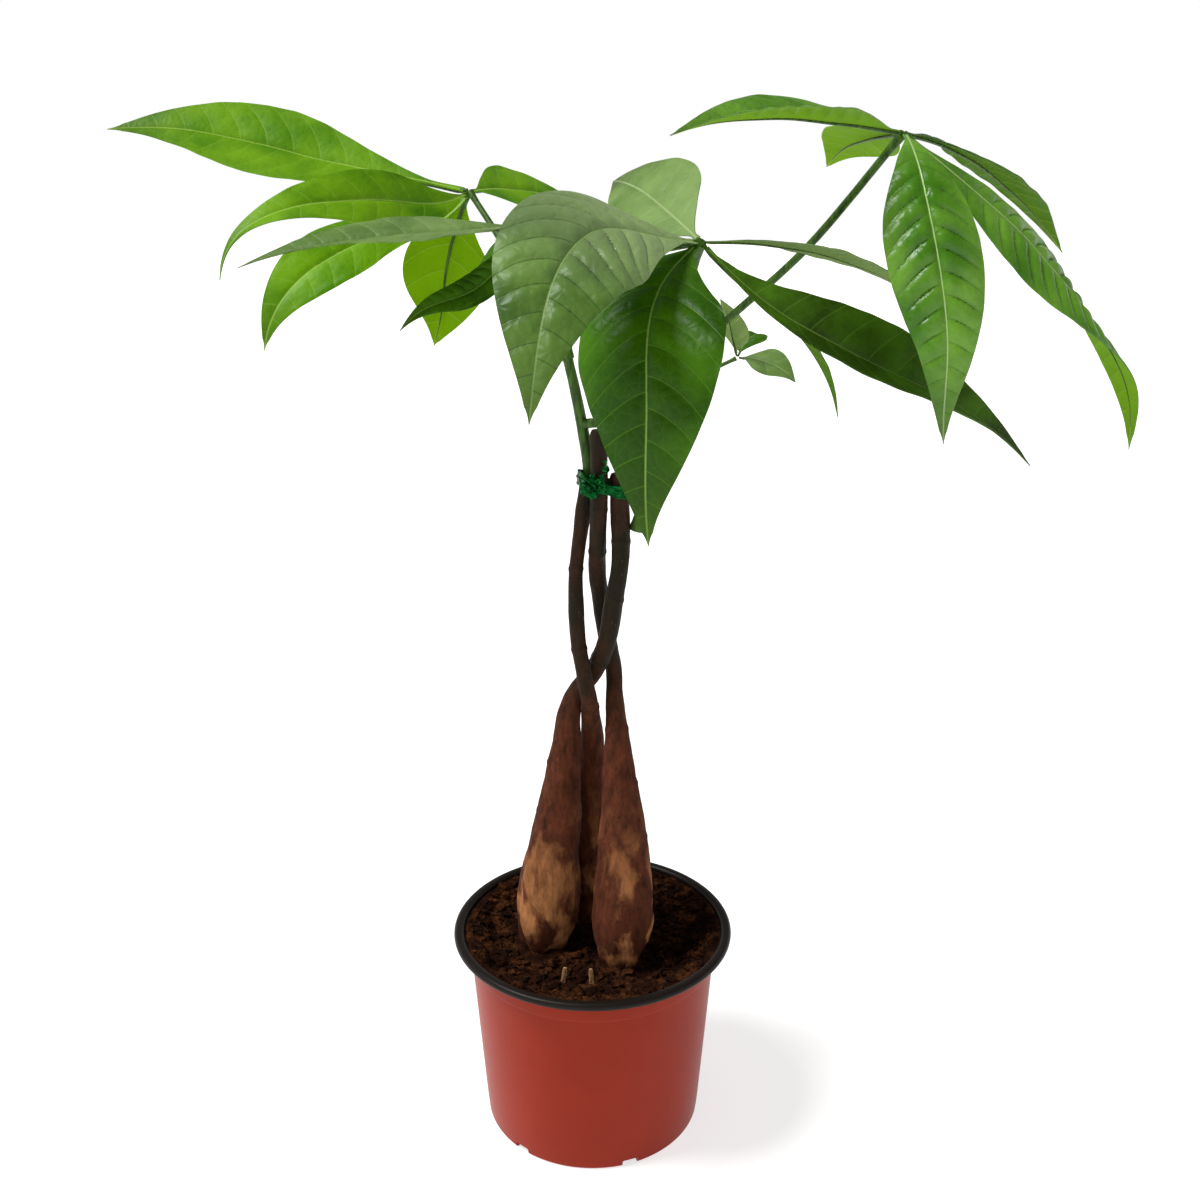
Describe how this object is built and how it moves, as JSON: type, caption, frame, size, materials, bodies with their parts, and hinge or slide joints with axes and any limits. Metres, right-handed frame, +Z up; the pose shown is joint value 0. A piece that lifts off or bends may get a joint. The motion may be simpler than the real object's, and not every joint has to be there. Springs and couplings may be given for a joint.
{
  "type": "potted money tree",
  "caption": "Young money tree with braided swollen trunks, held by a foil tie, and hand-shaped compound leaves, in a round nursery pot of moist soil.",
  "frame": {"origin": "middle of the pot's foot, on the surface it stands on", "axes": "+Z up along the pot's axis, -Y towards the side that faces the room, +X to that viewer's right"},
  "size_m": [0.3721, 0.2717, 0.4278],
  "materials": {
    "pot_plastic": "satin moulded polypropylene, black lip and inside",
    "soil": "moist peat with fibres",
    "bark": "brown bark with tan flaking patches",
    "green_stem": "smooth green stem",
    "foil_tie": "glossy green foil",
    "root_wood": "pale dry root",
    "leaf_dark": "glossy quilted leaf",
    "leaf_lime": "translucent lime leaf",
    "leaf_pale": "pale satin leaf"
  },
  "bodies": {
    "root": {"leaflet_front_1": "leaf_dark", "leaflet_front_2": "leaf_dark", "leaflet_front_3": "leaf_dark", "leaflet_front_4": "leaf_dark", "leaflet_front_5": "leaf_dark", "leaflet_front_6": "leaf_dark", "leaflet_front_7": "leaf_dark", "leaflet_left_1": "leaf_lime", "leaflet_left_2": "leaf_lime", "leaflet_left_3": "leaf_lime", "leaflet_left_4": "leaf_lime", "leaflet_left_5": "leaf_lime", "leaflet_low_1": "leaf_pale", "leaflet_low_2": "leaf_pale", "leaflet_low_3": "leaf_pale", "leaflet_low_4": "leaf_pale", "leaflet_right_1": "leaf_dark", "leaflet_right_2": "leaf_dark", "leaflet_right_3": "leaf_dark", "leaflet_right_4": "leaf_dark", "leaflet_right_5": "leaf_dark", "leaflet_young_1": "leaf_dark", "leaflet_young_2": "leaf_dark", "leaflet_young_3": "leaf_dark", "pot": "pot_plastic", "root_chip_left": "root_wood", "root_chip_right": "root_wood", "shoot_left": "green_stem", "shoot_right": "green_stem", "soil": "soil", "stalk_front": "green_stem", "stalk_left": "green_stem", "stalk_low": "green_stem", "stalk_right": "green_stem", "stalk_young": "green_stem", "trunk_back": "bark", "trunk_left": "bark", "trunk_right": "bark", "twist_tie": "foil_tie"}
  },
  "joints": []
}
